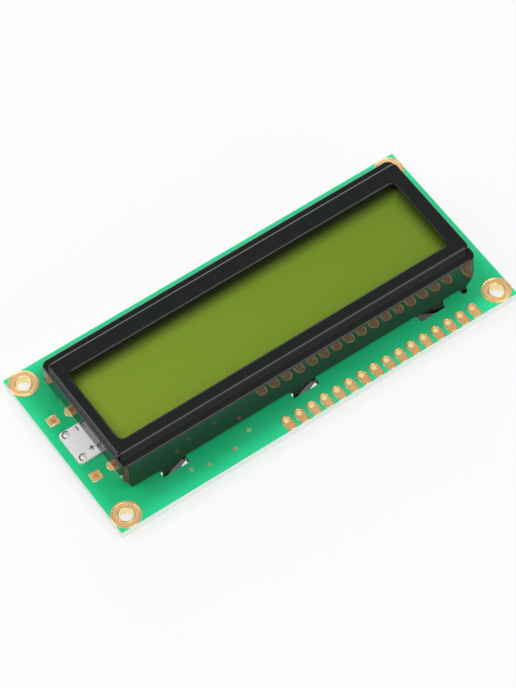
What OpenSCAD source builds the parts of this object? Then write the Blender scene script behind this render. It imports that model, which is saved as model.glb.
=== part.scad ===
// Character LCD module, two rows of sixteen, seen from its display face.
// +X runs along the board, -Y is the side with the connector row, +Z leaves the display.
// The part stands on the ends of the bezel's twist tabs, z = 0.

/* [Circuit board] */
// board length, mm
board_l = 80; // [78:0.5:84]
// board width, mm
board_w = 36; // [35:0.5:40]
// board thickness, mm
board_t = 1.6; // [1.2:0.2:2]
// mounting hole centres to the edges of the board, mm
hole_edge = 2.5; // [2.3:0.1:3]
// mounting hole diameter, mm
hole_d = 2.6; // [2.5:0.1:3.2]
// gold ring diameter round each mounting hole, mm
ring_d = 5.2; // [4.8:0.1:5.4]
// thickness of the plated copper on both faces, mm
plate_t = 0.06; // [0.04:0.02:0.1]

/* [Connector row] */
// number of connector holes
pins = 16; // [14:1:16]
// connector hole pitch, mm
pitch = 2.54; // [2:0.27:2.54]
// last hole to the end of the board, mm
pin_end = 8; // [7.5:0.5:10]
// hole row to the near edge of the board, mm
pin_edge = 2; // [1.8:0.1:2.4]
// connector hole diameter, mm
pin_d = 1; // [0.8:0.1:1.1]
// connector pad width, mm
pad_w = 1.8; // [1.6:0.1:2]

/* [Bezel] */
// short sides of the bezel to the ends of the board, mm
bezel_side = 4.5; // [4.1:0.1:5]
// long sides of the bezel to the edges of the board, mm
bezel_front = 5.5; // [5:0.1:6]
// steel sheet thickness, mm
sheet = 0.45; // [0.4:0.05:0.5]
// height of the long shoulders over the board, mm
shoulder_h = 8.3; // [7.8:0.1:9]
// height of the raised flat rim over the shoulders, mm
crest_rise = 1.35; // [1.2:0.05:1.5]
// width of the long shoulders, mm
shoulder_w = 1.75; // [1.55:0.1:2.05]
// gap between the skirts and the board, mm
skirt_gap = 1.4; // [1:0.1:1.8]
// gap between the short skirts and the board, mm
side_gap = 4.35; // [3.65:0.1:4.65]
// outer corner radius, mm
corner_r = 1.4; // [1.1:0.1:1.5]
// frame from the left short side to the display window, mm
rim_left = 2.2; // [2:0.1:3]
// frame from the right short side to the display window, mm
rim_right = 2.9; // [2.2:0.1:3.4]
// frame from the near long side to the display window, mm
rim_near = 4; // [3.6:0.1:4.6]
// frame from the far long side to the display window, mm
rim_far = 5.1; // [4.4:0.1:5.6]
// window corner radius, mm
window_r = 1.2; // [0.8:0.1:1.6]

/* [Twist tabs] */
// distance between neighbouring tabs, mm
tab_span = 26; // [25:0.5:27]
// tab width, mm
tab_w = 4.9; // [4.6:0.1:5.4]
// turn of each tab inside its slot, degrees
tab_turn = 14; // [10:1:15]
// turn of each tab at its end under the board, degrees
tab_lock = 30; // [24:1:36]
// tab length below the board, mm
stand = 1.5; // [1.4:0.1:2]

/* [Display stack] */
// thickness of each glass plate, mm
glass_t = 1.1; // [0.7:0.1:1.1]
// front polarizer thickness, mm
polar_t = 0.2; // [0.15:0.05:0.25]
// contact strip width, mm
zebra_w = 1.8; // [1.6:0.1:1.9]

/* [Backlight] */
// backlight to the outside of the long skirts, mm
lamp_in_y = 3; // [2.9:0.1:3.4]
// backlight to the outside of the short skirts, mm
lamp_in_x = 1.15; // [1:0.05:1.4]
// backlight board thickness, mm
lamp_board_t = 0.5; // [0.4:0.1:0.8]
// reach of the terminal tongue past the short skirt, mm
tongue_out = 3; // [2.5:0.1:3.2]
// terminal tongue width, mm
tongue_w = 6.9; // [6:0.1:7]

/* [Underside] */
// epoxy cap height, mm
cap_h = 1.2; // [0.9:0.1:1.3]

/* [Hidden] */
$fn = 64;
fit = 0.35;
under = stand;
top = stand + board_t;
deck = top + plate_t;
wall = 0.1;
pad_back = 0.05;
edge_r = 0.3;
crest_edge_r = 0.45;
past = 5;
hole_span_x = board_l - 2 * hole_edge;
hole_span_y = board_w - 2 * hole_edge;
bezel_l = board_l - 2 * bezel_side;
bezel_w = board_w - 2 * bezel_front;
window_l = bezel_l - rim_left - rim_right;
window_w = bezel_w - rim_near - rim_far;
window_x = (rim_left - rim_right) / 2;
window_y = (rim_near - rim_far) / 2;
bevel = 0.15;
lamp_w = bezel_w - 2 * lamp_in_y;
lamp_l = bezel_l - 2 * lamp_in_x;
half_l = bezel_l / 2;
half_w = bezel_w / 2;
crest_h = shoulder_h + crest_rise;
crest_in = 0.3;
crest_l = bezel_l - 2 * crest_in;
crest_w = bezel_w - 2 * shoulder_w;
crest_r = corner_r - 0.5;
glass_top = shoulder_h - sheet;
front_under = glass_top - glass_t;
rear_under = front_under - glass_t;
back_polar_t = 0.25;
diffuser_t = 0.3;
film_under = rear_under - back_polar_t;
guide_top = film_under - diffuser_t;
glass_l = bezel_l - 2 * (sheet + fit);
glass_w = bezel_w - 2 * (sheet + fit);
rear_glass_w = lamp_w;
frame_t = 1.2;
lamp_top = deck + lamp_board_t;
slot_l = tab_w + 0.3;
slot_w = 2 * (tab_w / 2 * sin(tab_turn) + sheet / 2) + 0.2;
tab_y = half_w - sheet / 2;
leg_x = half_l - 2.5;
leg_w = 0.8;
leg_hole_d = 1.3;
pin_y = -board_w / 2 + pin_edge;
pin_x1 = board_l / 2 - pin_end;
pin_x0 = pin_x1 - (pins - 1) * pitch;
zebra_l = lamp_l - 1;
zebra_y = (lamp_w / 2 + half_w - sheet) / 2;
fingers = 40;
finger_w = 0.8;
finger_pitch = (zebra_l - 3) / (fingers - 1);
led_t = 1.1;
led_w = 3;
led_h = 1.4;
led_gap = 0.1;
led_pitch = 5;
pad_spread = 6.5;
square_in = 2.55;
round_in = 1.5;
terminal_in = 1.2;
terminal_y = 2.6;
terminal_d = 1.5;
tongue_r = 0.7;
square_pad = [-board_l / 2 + square_in, pad_spread];
square_w = 1.95;
round_pad = [-half_l + round_in, pad_spread - 0.1];
round_pad_d = 2.3;
pad_hole_d = 0.9;
via_d = 0.8;
via_hole_d = 0.35;
via_edge = -board_w / 2;
vias = [
  [pin_x0 - 18, via_edge + 3.4], [pin_x0 - 15.1, via_edge + 2.5],
  [pin_x0 - 9.9, via_edge + 2.5], [pin_x0 - 6.1, via_edge + 4.1]
];
chip_x = board_l / 2 - 10;
resistors = [[-chip_x, -6], [-chip_x, -2], [-chip_x, 2], [-chip_x, 6], [chip_x, 5]];
capacitors = [[chip_x, 0], [chip_x, -5]];
chip = [2, 1.25, 0.5];
chip_cap = 0.35;
cap_spots = [[-14, 1, 16], [15, 1, 15]];

// ---- helpers ----

// rectangle with round corners, centred
module round_rect(l, w, r) {
  square([l - 2 * r, w], center = true);
  square([l, w - 2 * r], center = true);
  for (sx = [-1, 1])
    for (sy = [-1, 1])
      translate([sx * (l / 2 - r), sy * (w / 2 - r)])
        circle(r);
}

// profile standing on the x axis with its two top corners rounded
module dome_rect(w, h, f) {
  translate([-w / 2, 0])
    square([w, h - f]);
  translate([-w / 2 + f, 0])
    square([w - 2 * f, h]);
  for (s = [-1, 1])
    translate([s * (w / 2 - f), h - f])
      circle(f);
}

// upright box with round corners and a rounded top edge
module soft_block(l, w, h, r, f) {
  rotate([90, 0, 90])
    linear_extrude(height = l - 2 * r, center = true)
      dome_rect(w, h, f);
  rotate([90, 0, 0])
    linear_extrude(height = w - 2 * r, center = true)
      dome_rect(l, h, f);
  for (sx = [-1, 1])
    for (sy = [-1, 1])
      translate([sx * (l / 2 - r), sy * (w / 2 - r), 0])
        rotate_extrude()
          intersection() {
            dome_rect(2 * r, h, f);
            square([r + 1, h]);
          }
}

// copies at the four mounting holes
module at_mounts() {
  for (sx = [-1, 1])
    for (sy = [-1, 1])
      translate([sx * hole_span_x / 2, sy * hole_span_y / 2, 0])
        children();
}

// copies along the connector row
module at_pins() {
  for (i = [0:pins - 1])
    translate([pin_x0 + i * pitch, pin_y, 0])
      children();
}

// copies at the six twist tabs, the right hand pair turned the other way
module at_tabs() {
  for (sy = [-1, 1]) {
    for (i = [-1, 0])
      translate([i * tab_span, sy * tab_y, 0])
        children();
    translate([tab_span, sy * tab_y, 0])
      mirror([1, 0, 0])
        children();
  }
}

// plated hole: a barrel through the board with a round pad on both faces
module plated_hole(pad, bore) {
  difference() {
    union() {
      translate([0, 0, top])
        cylinder(d = pad, h = plate_t);
      translate([0, 0, under - plate_t])
        cylinder(d = pad, h = plate_t);
      translate([0, 0, under - plate_t])
        cylinder(d = bore + 2 * wall, h = board_t + 2 * plate_t);
    }
    translate([0, 0, under - 1])
      cylinder(d = bore, h = board_t + 2);
  }
}

// ---- circuit board and its plating ----

module circuit_board() {
  color("seagreen")
    difference() {
      translate([-board_l / 2, -board_w / 2, under])
        cube([board_l, board_w, board_t]);
      at_mounts()
        translate([0, 0, under - 1])
          cylinder(d = hole_d + 2 * wall, h = board_t + 2);
      at_pins()
        translate([0, 0, under - 1])
          cylinder(d = pin_d + 2 * wall, h = board_t + 2);
      for (s = [-1, 1]) {
        translate([square_pad[0], s * square_pad[1], under - 1])
          cylinder(d = pad_hole_d + 2 * wall, h = board_t + 2);
        translate([round_pad[0], s * round_pad[1], under - 1])
          cylinder(d = pad_hole_d + 2 * wall, h = board_t + 2);
      }
      for (v = vias)
        translate([v[0], v[1], under - 1])
          cylinder(d = via_hole_d + 2 * wall, h = board_t + 2);
      at_tabs()
        translate([-slot_l / 2, -slot_w / 2, under - 1])
          cube([slot_l, slot_w, board_t + 2]);
      translate([leg_x, -tab_y, under - 1])
        cylinder(d = leg_hole_d, h = board_t + 2);
    }
}

module mounting_ring_pads() {
  color("goldenrod")
    intersection() {
      at_mounts()
        plated_hole(ring_d, hole_d);
      translate([-board_l / 2, -board_w / 2, 0])
        cube([board_l, board_w, top + 1]);
    }
}

module connector_pads() {
  edge = pin_edge - pad_back;
  color("goldenrod")
    at_pins()
      difference() {
        union() {
          plated_hole(pad_w, pin_d);
          for (z = [under - plate_t, top])
            translate([-pad_w / 2, -edge, z])
              cube([pad_w, edge, plate_t]);
        }
        translate([0, 0, under - 1])
          cylinder(d = pin_d, h = board_t + 2);
      }
}

module square_lamp_pads() {
  color("goldenrod")
    for (s = [-1, 1])
      translate([square_pad[0], s * square_pad[1], 0])
        difference() {
          union() {
            plated_hole(square_w, pad_hole_d);
            for (z = [under - plate_t, top])
              translate([-square_w / 2, -square_w / 2, z])
                cube([square_w, square_w, plate_t]);
          }
          translate([0, 0, under - 1])
            cylinder(d = pad_hole_d, h = board_t + 2);
        }
}

module round_lamp_pads() {
  color("goldenrod")
    for (s = [-1, 1])
      translate([round_pad[0], s * round_pad[1], 0])
        plated_hole(round_pad_d, pad_hole_d);
}

module signal_vias() {
  color("darkkhaki")
    for (v = vias)
      translate([v[0], v[1], 0]) {
        translate([0, 0, under - plate_t])
          cylinder(d = via_hole_d + 2 * wall, h = board_t + 2 * plate_t);
        for (z = [under - plate_t, top])
          translate([0, 0, z])
            cylinder(d = via_d, h = plate_t);
      }
}

module contact_fingers() {
  color("goldenrod")
    for (side = [-1, 1])
      for (i = [0:fingers - 1])
        translate([(i - (fingers - 1) / 2) * finger_pitch, side * zebra_y, top])
          translate([-finger_w / 2, -zebra_w / 2, 0])
            cube([finger_w, zebra_w, plate_t]);
}

// ---- bezel ----

// closed outside of the bezel, standing on the level of the board
module bezel_outside() {
  soft_block(bezel_l, bezel_w, shoulder_h, corner_r, edge_r);
  soft_block(crest_l, crest_w, crest_h, crest_r, crest_edge_r);
}

// room inside the bezel, one sheet thickness from its outside
module bezel_inside() {
  translate([0, 0, -1])
    linear_extrude(height = shoulder_h - sheet + 1)
      round_rect(bezel_l - 2 * sheet, bezel_w - 2 * sheet, corner_r - sheet);
  linear_extrude(height = crest_h - sheet)
    round_rect(crest_l - 2 * sheet, crest_w - 2 * sheet, crest_r - sheet);
}

// the window's opening, with its upper edge bevelled
module window_cut() {
  translate([window_x, window_y, 0]) {
    linear_extrude(height = crest_h + 1)
      round_rect(window_l, window_w, window_r);
    translate([0, 0, crest_h - bevel]) {
      rotate([90, 0, 0])
        linear_extrude(height = window_w - 2 * window_r, center = true)
          bevel_profile(window_l / 2);
      rotate([90, 0, 90])
        linear_extrude(height = window_l - 2 * window_r, center = true)
          bevel_profile(window_w / 2);
      for (sx = [-1, 1])
        for (sy = [-1, 1])
          translate([sx * (window_l / 2 - window_r), sy * (window_w / 2 - window_r), 0])
            cylinder(h = 2 * bevel, r1 = window_r, r2 = window_r + 2 * bevel);
    }
  }
}

// bevel's cross profile, widening by as much as it rises
module bevel_profile(half) {
  polygon([
    [-half, 0], [half, 0], [half + 2 * bevel, 2 * bevel], [-half - 2 * bevel, 2 * bevel]
  ]);
}

// everything cut away from the lower ends of the short skirts and the corners
module skirt_cuts() {
  slope = 1.3;
  start_x = half_l - corner_r - 0.5;
  notch_y = half_w - corner_r;
  translate([0, 0, -1])
    cube([bezel_l + past, bezel_w + past, 2 * (skirt_gap + 1)], center = true);
  for (s = [-1, 1]) {
    rotate([90, 0, 0])
      linear_extrude(height = bezel_w + past, center = true)
        polygon([
          [s * start_x, 0], [s * start_x, skirt_gap],
          [s * (half_l + 1), skirt_gap + slope * (half_l + 1 - start_x)],
          [s * (half_l + 1), 0]
        ]);
    translate([s * half_l - 1, -notch_y, 0])
      cube([2, 2 * notch_y, side_gap]);
    for (t = [-1, 1])
      translate([s * half_l - 1, t * (notch_y + 0.4) - 0.4, 0])
        cube([2, 0.8, side_gap + 1.1]);
  }
}

// one twist tab, from the level of the skirt down to its end; its neck and its end are
// drawn a little thinner by the twisting
module twist_tab() {
  lap = 0.02;
  thin_w = tab_w - 0.1;
  thin_t = sheet - 0.04;
  translate([-tab_w / 2, -sheet / 2, top + skirt_gap - 0.05])
    cube([tab_w, sheet, 0.8]);
  translate([0, 0, top - lap])
    rotate([0, 0, tab_turn])
      linear_extrude(height = skirt_gap - 0.05 + 2 * lap, twist = tab_turn, slices = 7, $fn = 4)
        square([thin_w, thin_t], center = true);
  translate([0, 0, under])
    rotate([0, 0, tab_turn])
      linear_extrude(height = board_t)
        square([tab_w, sheet], center = true);
  rotate([0, 0, tab_lock])
    linear_extrude(height = under + lap, twist = tab_lock - tab_turn, slices = 5, $fn = 4)
      square([thin_w, thin_t], center = true);
}

module bezel() {
  color("dimgray")
    union() {
      translate([0, 0, top])
        difference() {
          bezel_outside();
          bezel_inside();
          skirt_cuts();
          window_cut();
        }
      at_tabs()
        twist_tab();
      translate([leg_x - leg_w / 2, -half_w, under + 0.3])
        cube([leg_w, sheet, board_t + skirt_gap]);
    }
}

// ---- display glass ----

module front_polarizer() {
  color("olivedrab")
    translate([0, 0, top + glass_top])
      linear_extrude(height = polar_t)
        square([crest_l - 2 * sheet - 1, crest_w - 2 * sheet - 1], center = true);
}

module front_glass() {
  color("lightblue")
    translate([-glass_l / 2, -glass_w / 2, top + front_under])
      cube([glass_l, glass_w, glass_t]);
}

module rear_glass() {
  color("lightblue")
    translate([-lamp_l / 2, -rear_glass_w / 2, top + rear_under])
      cube([lamp_l, rear_glass_w, glass_t]);
}

module rear_polarizer() {
  color("yellowgreen")
    translate([-lamp_l / 2 + 0.4, -rear_glass_w / 2 + 0.4, top + film_under])
      cube([lamp_l - 0.8, rear_glass_w - 0.8, back_polar_t]);
}

module contact_strip(side) {
  color("darkslategray")
    translate([-zebra_l / 2, side * zebra_y - zebra_w / 2, deck])
      cube([zebra_l, zebra_w, front_under - plate_t]);
}

module contact_strip_near() {
  contact_strip(-1);
}

module contact_strip_far() {
  contact_strip(1);
}

// ---- backlight ----

module diffuser_sheet() {
  color("whitesmoke")
    translate([-lamp_l / 2, -lamp_w / 2, top + guide_top])
      cube([lamp_l, lamp_w, diffuser_t]);
}

module light_guide() {
  room = 0.2;
  inner_l = lamp_l - 2 * frame_t - room / 2;
  inner_w = lamp_w - 2 * frame_t - room / 2;
  color("gainsboro")
    difference() {
      translate([-inner_l / 2, -inner_w / 2, lamp_top])
        cube([inner_l, inner_w, top + guide_top - lamp_top]);
      for (i = [-1:1])
        translate([
          -lamp_l / 2 + frame_t - past, i * led_pitch - led_w / 2 - room, lamp_top - past
        ])
          cube([past + led_gap + led_t + room, led_w + 2 * room, past + led_h + room]);
    }
}

module lamp_frame() {
  color("white")
    translate([0, 0, lamp_top])
      difference() {
        translate([-lamp_l / 2, -lamp_w / 2, 0])
          cube([lamp_l, lamp_w, top + guide_top - lamp_top]);
        translate([-lamp_l / 2 + frame_t, -lamp_w / 2 + frame_t, -1])
          cube([lamp_l - 2 * frame_t, lamp_w - 2 * frame_t, 9]);
      }
}

module lamp_board() {
  color("white")
    translate([0, 0, deck]) {
      translate([-lamp_l / 2, -lamp_w / 2, 0])
        cube([lamp_l, lamp_w, lamp_board_t]);
      linear_extrude(height = lamp_board_t) {
        translate([-half_l - tongue_out + tongue_r, -tongue_w / 2])
          square([tongue_out + 2 - tongue_r, tongue_w]);
        translate([-half_l - tongue_out, -tongue_w / 2 + tongue_r])
          square([tongue_r + 1, tongue_w - 2 * tongue_r]);
        for (s = [-1, 1])
          translate([-half_l - tongue_out + tongue_r, s * (tongue_w / 2 - tongue_r)])
            circle(tongue_r);
      }
    }
}

module lamp_leds() {
  color("lightyellow")
    for (i = [-1:1])
      translate([-lamp_l / 2 + frame_t + led_gap, i * led_pitch - led_w / 2, lamp_top])
        cube([led_t, led_w, led_h]);
}

module terminal_solder() {
  color("silver")
    for (s = [-1, 1])
      translate([-half_l - tongue_out + terminal_in, s * terminal_y, lamp_top])
        intersection() {
          translate([0, 0, -0.3 * terminal_d])
            sphere(d = terminal_d);
          translate([-terminal_d / 2, -terminal_d / 2, 0])
            cube(terminal_d);
        }
}

// ---- parts under the board ----

module cap(i) {
  rr = (pow(cap_spots[i][2] / 2, 2) + cap_h * cap_h) / (2 * cap_h);
  color("black")
    translate([cap_spots[i][0], cap_spots[i][1], under])
      rotate_extrude($fn = 96)
        intersection() {
          translate([0, rr - cap_h])
            circle(r = rr, $fn = 960);
          translate([0, -cap_h])
            square([2 * rr, cap_h]);
        }
}

module controller_cap() {
  cap(0);
}

module driver_cap() {
  cap(1);
}

module chip_bodies(spots) {
  for (p = spots)
    translate([p[0] - chip[0] / 2 + chip_cap, p[1] - chip[1] / 2, under - chip[2]])
      cube([chip[0] - 2 * chip_cap, chip[1], chip[2]]);
}

module chip_ends(spots) {
  for (p = spots)
    for (s = [-1, 1])
      translate([p[0] + s * (chip[0] - chip_cap) / 2, p[1], under - chip[2] / 2])
        cube([chip_cap, chip[1], chip[2]], center = true);
}

module chip_resistors() {
  color("black")
    chip_bodies(resistors);
}

module resistor_ends() {
  color("silver")
    chip_ends(resistors);
}

module chip_capacitors() {
  color("tan")
    chip_bodies(capacitors);
}

module capacitor_ends() {
  color("silver")
    chip_ends(capacitors);
}

// ---- output ----

circuit_board();
mounting_ring_pads();
connector_pads();
square_lamp_pads();
round_lamp_pads();
signal_vias();
contact_fingers();
bezel();
front_polarizer();
front_glass();
rear_glass();
rear_polarizer();
contact_strip_near();
contact_strip_far();
diffuser_sheet();
light_guide();
lamp_frame();
lamp_board();
lamp_leds();
terminal_solder();
controller_cap();
driver_cap();
chip_resistors();
resistor_ends();
chip_capacitors();
capacitor_ends();
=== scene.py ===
import math

import bmesh
import bpy
import numpy as np
from mathutils import Matrix, Vector


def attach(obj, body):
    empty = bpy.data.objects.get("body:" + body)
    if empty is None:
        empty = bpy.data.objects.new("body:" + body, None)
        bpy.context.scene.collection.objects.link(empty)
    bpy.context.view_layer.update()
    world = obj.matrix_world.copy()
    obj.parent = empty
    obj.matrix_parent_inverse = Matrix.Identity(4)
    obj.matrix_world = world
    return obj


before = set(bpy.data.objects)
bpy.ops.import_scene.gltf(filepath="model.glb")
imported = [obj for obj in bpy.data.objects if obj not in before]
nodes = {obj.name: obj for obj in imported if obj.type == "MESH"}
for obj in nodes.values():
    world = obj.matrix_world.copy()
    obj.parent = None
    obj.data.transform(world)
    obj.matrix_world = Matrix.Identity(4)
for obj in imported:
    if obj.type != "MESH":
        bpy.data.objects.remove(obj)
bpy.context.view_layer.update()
mm = 0.001
print("frame loaded:", len(nodes), "nodes")


def newMaterial(name):
    mat = bpy.data.materials.new(name)
    mat.use_nodes = True
    tree = mat.node_tree
    shader = tree.nodes["Principled BSDF"]
    return mat, tree, shader


def addNode(tree, kind, **values):
    node = tree.nodes.new(kind)
    for key, value in values.items():
        setattr(node, key, value)
    return node


def objectCoords(tree):
    return addNode(tree, "ShaderNodeTexCoord").outputs["Object"]


def noiseField(tree, vector, scale, detail=3.0, roughness=0.5):
    node = addNode(tree, "ShaderNodeTexNoise")
    node.inputs["Scale"].default_value = scale
    node.inputs["Detail"].default_value = detail
    node.inputs["Roughness"].default_value = roughness
    tree.links.new(vector, node.inputs["Vector"])
    return node.outputs["Fac"]


def mapRange(tree, value, low, high, outLow=0.0, outHigh=1.0, smooth=True):
    node = addNode(tree, "ShaderNodeMapRange")
    node.interpolation_type = "SMOOTHSTEP" if smooth else "LINEAR"
    node.inputs["From Min"].default_value = low
    node.inputs["From Max"].default_value = high
    node.inputs["To Min"].default_value = outLow
    node.inputs["To Max"].default_value = outHigh
    tree.links.new(value, node.inputs["Value"])
    return node.outputs["Result"]


def calc(tree, operation, a, b=None):
    node = addNode(tree, "ShaderNodeMath", operation=operation)
    for socket, value in zip(node.inputs, (a, b)):
        if value is None:
            continue
        if isinstance(value, (int, float)):
            socket.default_value = value
        else:
            tree.links.new(value, socket)
    return node.outputs[0]


def calc3(tree, vector, factors):
    node = addNode(tree, "ShaderNodeVectorMath", operation="MULTIPLY")
    tree.links.new(vector, node.inputs[0])
    node.inputs[1].default_value = factors
    return node.outputs["Vector"]


def mixColour(tree, factor, a, b):
    node = addNode(tree, "ShaderNodeMix", data_type="RGBA")
    for socket, value in ((node.inputs[0], factor), (node.inputs[6], a), (node.inputs[7], b)):
        if isinstance(value, (int, float)):
            socket.default_value = value
        elif isinstance(value, tuple):
            socket.default_value = (*value, 1.0)
        else:
            tree.links.new(value, socket)
    return node.outputs[2]


def bumpFrom(tree, height, strength, distance, shader):
    node = addNode(tree, "ShaderNodeBump")
    node.inputs["Strength"].default_value = strength
    node.inputs["Distance"].default_value = distance
    tree.links.new(height, node.inputs["Height"])
    tree.links.new(node.outputs["Normal"], shader.inputs["Normal"])


def axesOf(tree, vector):
    node = addNode(tree, "ShaderNodeSeparateXYZ")
    tree.links.new(vector, node.inputs[0])
    return node.outputs


def dress(mat, *names):
    for name in names:
        mesh = nodes[name].data
        mesh.materials.clear()
        mesh.materials.append(mat)


boardLook = {
    # the mask colour darkened by painted shade near the bezel, and its own colour towards the edges
    "paintedShadeNearBezel": (0.018, 0.55, 0.215),
    "nearEdge": (0.034, 0.84, 0.36),
    "cutEdge": (0.94, 0.99, 0.96),
    "cutShade": (0.84, 0.97, 0.91),
    "shadedSlotWall": (0.10, 0.26, 0.15),
    "outlineHalfSize": (39.8 * mm, 17.8 * mm),
    "bezelHalfSize": (35.5 * mm, 12.5 * mm),
    "shadeFadeFrom": 1.2 * mm,
    "shadeFadeTo": 5.8 * mm,
    "specular": 0.25,
    "roughness": 0.28,
}


def boardMaterial(look):
    mat, tree, shader = newMaterial("solderMask")
    where = objectCoords(tree)
    x, y, z = axesOf(tree, where)
    halfLong, halfShort = look["bezelHalfSize"]
    beyondX = calc(tree, "SUBTRACT", calc(tree, "ABSOLUTE", x), halfLong)
    beyondY = calc(tree, "SUBTRACT", calc(tree, "ABSOLUTE", y), halfShort)
    beyond = calc(tree, "MAXIMUM", beyondX, beyondY)
    mottled = noiseField(tree, where, 260.0, 4.0)
    wide = noiseField(tree, where, 38.0, 2.0)
    # painted shade: the mask darkens towards the bezel and fades out a few mm beyond it, with random
    # tone on top
    outOfPaintedShade = mapRange(tree, beyond, look["shadeFadeFrom"], look["shadeFadeTo"])
    outOfPaintedShade = calc(tree, "ADD", outOfPaintedShade, mapRange(tree, wide, 0.3, 0.7, -0.12, 0.12))
    outOfPaintedShade = calc(tree, "ADD", outOfPaintedShade, mapRange(tree, mottled, 0.3, 0.7, -0.05, 0.05))
    outOfPaintedShade = mapRange(tree, outOfPaintedShade, 0.0, 1.0, smooth=False)
    maskWithPaintedShade = mixColour(tree, outOfPaintedShade, look["paintedShadeNearBezel"], look["nearEdge"])
    facing = axesOf(tree, addNode(tree, "ShaderNodeNewGeometry").outputs["Normal"])[2]
    side = mapRange(tree, calc(tree, "ABSOLUTE", facing), 0.3, 0.6, 1.0, 0.0)
    # the cut edge shows the pale glass cloth in layers
    layers = noiseField(tree, calc3(tree, where, (90.0, 90.0, 2600.0)), 1.0, 2.0)
    glassy = mixColour(tree, mapRange(tree, layers, 0.35, 0.65), look["cutEdge"], look["cutShade"])
    # the walls of slots and holes are painted dark as shade, unlike the pale sheared outline
    outlineX, outlineY = look["outlineHalfSize"]
    atEndX = calc(tree, "GREATER_THAN", calc(tree, "ABSOLUTE", x), outlineX)
    atEndY = calc(tree, "GREATER_THAN", calc(tree, "ABSOLUTE", y), outlineY)
    glassy = mixColour(tree, calc(tree, "MAXIMUM", atEndX, atEndY), look["shadedSlotWall"], glassy)
    tree.links.new(mixColour(tree, side, maskWithPaintedShade, glassy), shader.inputs["Base Color"])
    shader.inputs["Roughness"].default_value = look["roughness"]
    shader.inputs["Specular IOR Level"].default_value = look["specular"]
    bumpFrom(tree, mottled, 0.05, 0.0001, shader)
    return mat


dress(boardMaterial(boardLook), "circuit_board")
print("circuit board dressed")


goldLook = {
    "face": (0.98, 0.52, 0.20),
    "faceLight": (1.0, 0.64, 0.29),
    "barrel": (1.0, 0.84, 0.42),
    "rim": (1.0, 0.80, 0.42),
    "holeShade": (0.78, 0.30, 0.09),
    "masked": (0.42, 0.52, 0.22),
    "maskedLight": (0.62, 0.66, 0.36),
    "faceRoughness": 0.42,
    "rimRoughness": 0.28,
    "barrelRoughness": 0.16,
    "faceMetallic": 0.22,
    "rimMetallic": 0.75,
}


def goldMaterial(name, look, colours, metallic, roughness):
    mat, tree, shader = newMaterial(name)
    where = objectCoords(tree)
    grain = noiseField(tree, where, 900.0, 4.0)
    patch = noiseField(tree, where, 210.0, 2.0)
    face = mixColour(tree, mapRange(tree, patch, 0.35, 0.7), *colours)
    facing = axesOf(tree, addNode(tree, "ShaderNodeNewGeometry").outputs["Normal"])[2]
    barrel = mapRange(tree, calc(tree, "ABSOLUTE", facing), 0.3, 0.7, 1.0, 0.0)
    # the holes' walls take a paler gold, partly the bare metal's own colour and partly painted light
    # inside the holes
    tree.links.new(mixColour(tree, barrel, face, look["barrel"]), shader.inputs["Base Color"])
    # the holes' walls are bright drawn metal, and the faces a matt flash of gold
    tree.links.new(
        mapRange(tree, barrel, 0.0, 1.0, metallic, 1.0), shader.inputs["Metallic"]
    )
    matt = mapRange(tree, grain, 0.3, 0.7, roughness - 0.06, roughness + 0.1)
    bright = calc(tree, "MULTIPLY", barrel, roughness - look["barrelRoughness"])
    tree.links.new(calc(tree, "SUBTRACT", matt, bright), shader.inputs["Roughness"])
    bumpFrom(tree, grain, 0.10, 0.00005, shader)
    return mat


faceFinish = (goldLook["faceMetallic"], goldLook["faceRoughness"])
rimFinish = (goldLook["rimMetallic"], goldLook["rimRoughness"])
faceColours = (goldLook["face"], goldLook["faceLight"])
rimColours = (goldLook["rim"], goldLook["barrel"])
maskedColours = (goldLook["masked"], goldLook["maskedLight"])
holeShadeColours = (goldLook["holeShade"], goldLook["face"])
gold = goldMaterial("goldPlate", goldLook, faceColours, *faceFinish)
paleGold = goldMaterial("goldRim", goldLook, rimColours, *rimFinish)
maskedGold = goldMaterial("maskedVias", goldLook, maskedColours, *faceFinish)
shadedHoleGold = goldMaterial("shadedHoleGold", goldLook, holeShadeColours, *faceFinish)
dress(
    gold, "mounting_ring_pads", "connector_pads", "square_lamp_pads",
    "round_lamp_pads", "contact_fingers",
)
dress(maskedGold, "signal_vias")
print("plated copper dressed")


bezelLook = {
    "paint": (0.0078, 0.0112, 0.0094),
    "paintLight": (0.0096, 0.0118, 0.0100),
    "roughness": 0.06,
    "specular": 0.50,
}


def bezelMaterial(look):
    mat, tree, shader = newMaterial("bezelPaint")
    where = objectCoords(tree)
    fine = noiseField(tree, where, 1500.0, 3.0)
    broad = noiseField(tree, where, 60.0, 2.0)
    tree.links.new(
        mixColour(tree, mapRange(tree, broad, 0.3, 0.7), look["paint"], look["paintLight"]),
        shader.inputs["Base Color"],
    )
    tree.links.new(
        mapRange(tree, fine, 0.3, 0.7, look["roughness"] - 0.015, look["roughness"] + 0.02),
        shader.inputs["Roughness"],
    )
    shader.inputs["Specular IOR Level"].default_value = look["specular"]
    bumpFrom(tree, fine, 0.012, 0.00001, shader)
    return mat


bezelPaint = bezelMaterial(bezelLook)
dress(bezelPaint, "bezel")
print("bezel dressed")


displayLook = {
    "left": (0.215, 0.310, 0.026),
    "right": (0.165, 0.268, 0.020),
    "shade": (0.016, 0.017, 0.011),
    "farShade": (4.3 * mm, 7.7 * mm, 0.93),
    "rightShade": (29.8 * mm, 33.4 * mm, 0.68),
    "roughness": 0.38,
    "specular": 0.10,
}


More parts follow.
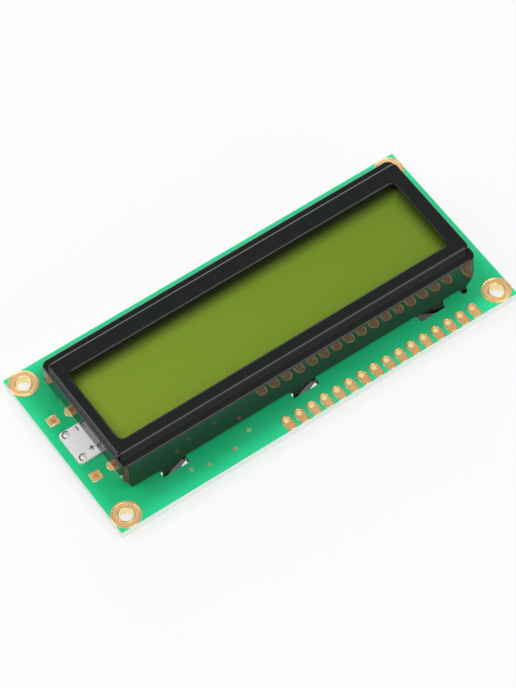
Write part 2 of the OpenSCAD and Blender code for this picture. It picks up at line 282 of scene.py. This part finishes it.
def displayMaterial(look):
    mat, tree, shader = newMaterial("frontPolarizer")
    where = objectCoords(tree)
    x, y, z = axesOf(tree, where)
    across = mapRange(tree, x, -33 * mm, 33 * mm, smooth=False)
    speck = noiseField(tree, where, 700.0, 3.0)
    tint = mixColour(tree, across, look["left"], look["right"])
    tint = mixColour(tree, mapRange(tree, speck, 0.3, 0.7, 0.0, 0.12), tint, look["right"])
    # the reflector lies well under the film, so the bezel's shade reaches in from two sides
    far = mapRange(tree, y, *look["farShade"][:2], 0.0, look["farShade"][2])
    right = mapRange(tree, x, *look["rightShade"][:2], 0.0, look["rightShade"][2])
    tint = mixColour(tree, calc(tree, "MAXIMUM", far, right), tint, look["shade"])
    tree.links.new(tint, shader.inputs["Base Color"])
    shader.inputs["Roughness"].default_value = look["roughness"]
    shader.inputs["Specular IOR Level"].default_value = look["specular"]
    bumpFrom(tree, speck, 0.02, 0.00001, shader)
    return mat


dress(displayMaterial(displayLook), "front_polarizer")


def simpleMaterial(name, low, high, roughness, scale=400.0, specular=0.5, metallic=0.0, bump=0.08):
    mat, tree, shader = newMaterial(name)
    where = objectCoords(tree)
    grain = noiseField(tree, where, scale, 4.0)
    tree.links.new(
        mixColour(tree, mapRange(tree, grain, 0.3, 0.7), low, high), shader.inputs["Base Color"]
    )
    tree.links.new(
        mapRange(tree, grain, 0.3, 0.7, roughness * 0.85, roughness * 1.15),
        shader.inputs["Roughness"],
    )
    shader.inputs["Specular IOR Level"].default_value = specular
    shader.inputs["Metallic"].default_value = metallic
    bumpFrom(tree, grain, bump, 0.00005, shader)
    return mat



# each row: name, low and high colour, roughness, grain scale, other values, nodes
plainFinishes = (
    ("cellGlass", (0.30, 0.36, 0.28), (0.36, 0.42, 0.34), 0.08, 60.0, {}, ("front_glass", "rear_glass")),
    ("rearPolarizer", (0.20, 0.29, 0.05), (0.24, 0.33, 0.06), 0.4, 400.0, {}, ("rear_polarizer",)),
    ("stripRubber", (0.02, 0.022, 0.022), (0.04, 0.04, 0.04), 0.7, 1200.0, {},
     ("contact_strip_near", "contact_strip_far")),
    ("diffuser", (0.85, 0.85, 0.82), (0.9, 0.9, 0.88), 0.6, 400.0, {}, ("diffuser_sheet",)),
    ("guidePlastic", (0.80, 0.82, 0.80), (0.86, 0.88, 0.86), 0.15, 90.0, {}, ("light_guide",)),
    ("whitePlastic", (0.84, 0.83, 0.81), (0.9, 0.89, 0.88), 0.4, 300.0, {}, ("lamp_frame",)),
    ("whiteMask", (0.96, 0.93, 0.95), (0.98, 0.96, 0.97), 0.35, 300.0, {}, ("lamp_board",)),
    ("ledPlastic", (0.85, 0.80, 0.45), (0.9, 0.86, 0.55), 0.25, 400.0, {}, ("lamp_leds",)),
    ("solder", (0.84, 0.80, 0.78), (0.95, 0.92, 0.90), 0.3, 1400.0, {"metallic": 0.3, "bump": 0.3},
     ("terminal_solder", "resistor_ends", "capacitor_ends")),
    ("epoxy", (0.012, 0.012, 0.012), (0.02, 0.02, 0.02), 0.35, 500.0, {},
     ("controller_cap", "driver_cap")),
    ("chipBlack", (0.015, 0.015, 0.015), (0.03, 0.03, 0.03), 0.45, 900.0, {}, ("chip_resistors",)),
    ("chipTan", (0.42, 0.30, 0.18), (0.5, 0.37, 0.23), 0.5, 900.0, {}, ("chip_capacitors",)),
)
for name, low, high, roughness, scale, others, dressed in plainFinishes:
    dress(simpleMaterial(name, low, high, roughness, scale, **others), *dressed)
print("display stack, backlight and chips dressed")


def newPiece(name, slot, material, corners, faces):
    mesh = bpy.data.meshes.new(name)
    mesh.from_pydata(corners.tolist(), [], [list(face) for face in faces])
    work = bmesh.new()
    work.from_mesh(mesh)
    bmesh.ops.recalc_face_normals(work, faces=work.faces)
    work.to_mesh(mesh)
    work.free()
    mesh.polygons.foreach_set("use_smooth", np.ones(len(mesh.polygons), dtype=bool))
    mesh.materials.append(material)
    piece = bpy.data.objects.new(name, mesh)
    bpy.context.scene.collection.objects.link(piece)
    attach(piece, "root")
    return piece


def beadAlong(path, level, halfWidth, halfHeight, sides=12):
    # an ellipse carried along a closed flat path: point plus normal times
    # halfWidth cos(a), raised by halfHeight sin(a)
    tangent = np.roll(path, -1, axis=0) - np.roll(path, 1, axis=0)
    tangent /= np.linalg.norm(tangent, axis=1, keepdims=True)
    normal = np.stack((tangent[:, 1], -tangent[:, 0]), axis=1)
    angle = np.linspace(0, 2 * np.pi, sides, endpoint=False)
    flat = path[:, None, :] + normal[:, None, :] * (halfWidth * np.cos(angle))[None, :, None]
    height = np.broadcast_to(level + halfHeight * np.sin(angle), flat.shape[:2])
    corners = np.concatenate((flat, height[:, :, None]), axis=2).reshape(-1, 3)
    along = np.arange(len(path))[:, None]
    around = np.arange(sides)[None, :]
    nextAlong, nextAround = (along + 1) % len(path), (around + 1) % sides
    faces = np.stack((
        along * sides + around, nextAlong * sides + around,
        nextAlong * sides + nextAround, along * sides + nextAround,
    ), axis=2).reshape(-1, 4)
    return corners, faces


def joined(parts):
    # meshes put end to end, each one's faces moved on by the corners before it
    counts = np.cumsum([0] + [len(corners) for corners, faces in parts[:-1]])
    corners = np.concatenate([corners for corners, faces in parts])
    return corners, np.concatenate([faces + n for n, (corners, faces) in zip(counts, parts)])


def arcPoints(centre, radius, start, end, count):
    # centre plus radius times (cos, sin) of evenly spaced angles in degrees
    angle = np.radians(np.linspace(start, end, count))
    return np.array(centre) + radius * np.stack((np.cos(angle), np.sin(angle)), axis=1)


def ringPath(centre, radius, count=72):
    return arcPoints(centre, radius, 0, 360 - 360 / count, count)


def roundedBox(centre, size, radius, count=7):
    # four quarter arcs, one at each corner, in turn
    half = np.array(size) / 2 - radius
    corners = (((1, 1), 0), ((-1, 1), 90), ((-1, -1), 180), ((1, -1), 270))
    return np.concatenate([
        arcPoints(np.array(centre) + half * np.array(sign), radius, start, start + 90, count)
        for sign, start in corners
    ])


# the plating stands up in a thin bright rim along the edge of each pad
rimLook = {
    "level": 3.165 * mm,
    "halfWidth": 0.14 * mm,
    "halfHeight": 0.06 * mm,
    "mountingHoles": ((37.5, 15.5), (-37.5, 15.5), (-37.5, -15.5), (37.5, -15.5)),
    "mountingOuter": 2.35,
    "mountingInner": 1.40,
    "connectorFirst": (-6.1, -16.0),
    "connectorPitch": 2.54,
    "connectorCount": 16,
    "connectorHalf": 0.8,
    "connectorToEdge": 1.85,
    "squarePads": ((-37.45, 6.5), (-37.45, -6.5)),
    "squareSize": 1.67,
    "roundPads": ((-34.0, 6.4), (-34.0, -6.4)),
    "roundOuter": 1.03,
    "roundInner": 0.96,
}


def crescent(centre, outer, inner, start, end, count=25):
    # out along one arc and back along a smaller one
    there = arcPoints(centre, outer, start, end, count)
    back = arcPoints(centre, inner, end - 3, start + 3, count)
    return np.concatenate((there, back))


def connectorOutline(centre, look):
    # a half circle over two straight sides that run to the board's edge
    radius, down = look["connectorHalf"], look["connectorToEdge"]
    lower = np.array(centre) + np.array(((-radius, -down), (radius, -down)))
    return np.concatenate((lower, arcPoints(centre, radius, 0, 180, 25)))


def padRims(look):
    width, rise, level = look["halfWidth"], look["halfHeight"], look["level"]
    paths = []
    for place in look["mountingHoles"]:
        paths += [ringPath(place, look["mountingOuter"]), ringPath(place, look["mountingInner"])]
    x0, y0 = look["connectorFirst"]
    for i in range(look["connectorCount"]):
        place = (x0 + i * look["connectorPitch"], y0)
        paths.append(connectorOutline(place, look))
    for place in look["squarePads"]:
        paths.append(roundedBox(place, (look["squareSize"],) * 2, 0.12))
    outer, inner = look["roundOuter"], look["roundInner"]
    paths += [crescent(place, outer, inner, 115, 245) for place in look["roundPads"]]
    return joined([beadAlong(path * mm, level, width, rise) for path in paths])


newPiece("padRims", "gold_plate", paleGold, *padRims(rimLook))
print("pad rims made")

# the square pads' small holes are filled by a low dome of plating, painted a darker gold as the holes'
# shade
fillLook = {
    "places": ((-37.45, 6.5), (-37.45, -6.5)),
    "radius": 0.52 * mm,
    "base": 3.155 * mm,
    "rise": 0.05 * mm,
}


def holeFills(look):
    # a dome: height falls from the rise at the middle with the square of the radius
    steps, around = 8, 36
    part = np.linspace(0.05, 1, steps)[:, None]
    angle = np.linspace(0, 2 * np.pi, around, endpoint=False)[None, :]
    height = look["base"] + look["rise"] * (1 - part ** 2) + 0 * angle
    dome = np.stack((
        look["radius"] * part * np.cos(angle), look["radius"] * part * np.sin(angle), height,
    ), axis=2).reshape(-1, 3)
    under = np.array(((0, 0, look["base"]), (0, 0, look["base"] + look["rise"])))
    ring = np.arange(around)
    nextRing = (ring + 1) % around
    rows = np.arange(steps - 1)[:, None] * around
    walls = np.stack((
        rows + ring, rows + around + ring, rows + around + nextRing, rows + nextRing,
    ), axis=2).reshape(-1, 4)
    last, bottom, crown = (steps - 1) * around, steps * around, steps * around + 1
    floor = np.stack((last + nextRing, last + ring, np.full(around, bottom)), axis=1)
    cap = np.stack((ring, nextRing, np.full(around, crown)), axis=1)
    corners = np.concatenate((dome, under))
    moved = [corners + np.array((*place, 0.0)) * mm for place in look["places"]]
    faces = walls.tolist() + floor.tolist() + cap.tolist()
    count = len(corners)
    everyFace = [[i + n * count for i in face] for n in range(len(moved)) for face in faces]
    return np.concatenate(moved), everyFace


newPiece("padFills", "gold_plate", shadedHoleGold, *holeFills(fillLook))
print("square pads filled")

# the punched window keeps a fine rolled edge that catches the light
windowLook = {
    "centre": (-0.35, -0.55),
    "size": (65.98, 15.98),
    "radius": 1.2,
    "level": 12.66 * mm,
    "halfWidth": 0.13 * mm,
    "halfHeight": 0.08 * mm,
}


def windowEdge(look):
    path = roundedBox(look["centre"], look["size"], look["radius"], 13) * mm
    return beadAlong(path, look["level"], look["halfWidth"], look["halfHeight"])


newPiece("windowEdge", "bezel_paint", bezelPaint, *windowEdge(windowLook))
print("window edge made")

# generic polarity signs and flux left round the soldered terminals
tongueLook = {
    "level": 3.66 * mm,
    "signPlaces": {"minus": (-35.15, 2.7), "plus": (-35.15, -1.8)},
    "signLength": 0.95,
    "signWidth": 0.12,
    "terminals": ((-37.3, 2.6), (-37.3, -2.6)),
    "fluxRadius": 0.72,
    "fluxBand": 0.16,
    "fluxHeight": 0.03 * mm,
    "ink": (0.10, 0.08, 0.075),
    "flux": (0.06, 0.028, 0.014),
    "fluxPale": (0.30, 0.17, 0.10),
}


def barPath(centre, length, width, turned=False):
    size = (width, length) if turned else (length, width)
    return roundedBox(centre, size, width * 0.35, 4)


def tongueSigns(look):
    minus, plus = look["signPlaces"]["minus"], look["signPlaces"]["plus"]
    length, width = look["signLength"], look["signWidth"]
    flat = 0.012 * mm
    paths = [
        barPath(minus, length, width, True),
        barPath(plus, length, width, True), barPath(plus, length, width),
    ]
    return joined([beadAlong(path * mm, look["level"], width / 2 * mm, flat) for path in paths])


ink = simpleMaterial("printedSign", tongueLook["ink"], tongueLook["ink"], 0.5, 800.0)
fluxFinish = simpleMaterial("flux", tongueLook["flux"], tongueLook["fluxPale"], 0.25, 900.0, bump=0.2)
newPiece("tongueSigns", "white_mask", ink, *tongueSigns(tongueLook))


def fluxArcs(look):
    band = look["fluxBand"]
    outer, inner = look["fluxRadius"], look["fluxRadius"] - band
    paths = [crescent(place, outer, inner, 40, 230) for place in look["terminals"]]
    return joined([
        beadAlong(path * mm, look["level"], band / 2 * mm, look["fluxHeight"]) for path in paths
    ])


newPiece("terminalFlux", "solder", fluxFinish, *fluxArcs(tongueLook))
print("tongue signs and flux made")


studio = {"floorSize": 2.0, "groundShown": 0.75, "worldLight": 0.25}


def floorMaterial():
    mat, tree, shader = newMaterial("paleGround")
    shader.inputs["Base Color"].default_value = (0.93, 0.93, 0.93, 1.0)
    shader.inputs["Roughness"].default_value = 0.9
    shader.inputs["Specular IOR Level"].default_value = 0.0
    # what the camera and mirrors see is mostly plain white, and the rest takes the shadow
    rays = addNode(tree, "ShaderNodeLightPath").outputs
    seen = calc(tree, "MAXIMUM", rays["Is Camera Ray"], rays["Is Glossy Ray"])
    seen = calc(tree, "MAXIMUM", seen, rays["Is Transmission Ray"])
    white = addNode(tree, "ShaderNodeEmission")
    blend = addNode(tree, "ShaderNodeMixShader")
    tree.links.new(calc(tree, "MULTIPLY", seen, studio["groundShown"]), blend.inputs[0])
    tree.links.new(shader.outputs[0], blend.inputs[1])
    tree.links.new(white.outputs[0], blend.inputs[2])
    tree.links.new(blend.outputs[0], tree.nodes["Material Output"].inputs["Surface"])
    return mat


def makeFloor(size):
    mesh = bpy.data.meshes.new("ground")
    s = size / 2
    mesh.from_pydata([(-s, -s, 0), (s, -s, 0), (s, s, 0), (-s, s, 0)], [], [(0, 1, 2, 3)])
    ground = bpy.data.objects.new("ground", mesh)
    bpy.context.scene.collection.objects.link(ground)
    mesh.materials.append(floorMaterial())
    return ground


makeFloor(studio["floorSize"])

world = bpy.data.worlds.new("studio")
bpy.context.scene.world = world
world.use_nodes = True
sky = world.node_tree
background = sky.nodes["Background"]
background.inputs["Color"].default_value = (1.0, 1.0, 1.0, 1.0)
rays = sky.nodes.new("ShaderNodeLightPath")
strength = sky.nodes.new("ShaderNodeMapRange")
strength.inputs["To Min"].default_value = studio["worldLight"]
strength.inputs["To Max"].default_value = 1.0
sky.links.new(rays.outputs["Is Camera Ray"], strength.inputs["Value"])
sky.links.new(strength.outputs["Result"], background.inputs["Strength"])


def softBox(name, direction, distance, width, height, radiance):
    direction = Vector(direction).normalized()
    light = bpy.data.lights.new(name, "AREA")
    light.shape = "RECTANGLE"
    light.size, light.size_y = width, height
    light.energy = radiance * math.pi * width * height
    lamp = bpy.data.objects.new(name, light)
    lamp.location = direction * distance
    lamp.rotation_mode = "QUATERNION"
    lamp.rotation_quaternion = (-direction).to_track_quat("-Z", "Y")
    bpy.context.scene.collection.objects.link(lamp)
    return lamp


softBox("nearBox", (0.08, -0.46, 0.84), 0.8, 0.68, 0.28, 4.1)
softBox("lowNearBox", (0.18, -0.85, 0.42), 0.8, 0.50, 0.30, 2.0)
softBox("farBox", (0.38, 0.83, 0.45), 0.8, 0.38, 0.38, 4.2)
softBox("leftBox", (-0.58, 0.30, 0.72), 0.8, 0.46, 0.46, 3.5)

# the camera looks down at the board from the left of its connector side
cameraPlace = {
    "azimuth": -32.23, "elevation": 56.82, "roll": 2.99, "distance": 568.4,
    "target": (-0.7, -1.1, 3.1), "lens": 236.95, "shift": (-0.0076, -0.0013),
}


def makeCamera(place):
    azimuth, elevation = math.radians(place["azimuth"]), math.radians(place["elevation"])
    back = Vector((
        math.sin(azimuth) * math.cos(elevation),
        -math.cos(azimuth) * math.cos(elevation),
        math.sin(elevation),
    ))
    right = Vector((0, 0, 1)).cross(back).normalized()
    up = back.cross(right)
    turn = math.radians(-place["roll"])
    rightTurned = right * math.cos(turn) + up * math.sin(turn)
    upTurned = up * math.cos(turn) - right * math.sin(turn)
    data = bpy.data.cameras.new("camera")
    data.sensor_fit = "HORIZONTAL"
    data.sensor_width = 36.0
    data.lens = place["lens"]
    data.shift_x, data.shift_y = place["shift"]
    data.clip_start, data.clip_end = 0.05, 20.0
    camera = bpy.data.objects.new("camera", data)
    target = Vector(place["target"]) * mm
    turned = Matrix((rightTurned, upTurned, back)).transposed().to_4x4()
    camera.matrix_world = Matrix.Translation(target + back * place["distance"] * mm) @ turned
    bpy.context.scene.collection.objects.link(camera)
    bpy.context.scene.camera = camera
    return camera


makeCamera(cameraPlace)
bpy.context.scene.view_settings.view_transform = "Standard"
print("floor, lights and camera placed")
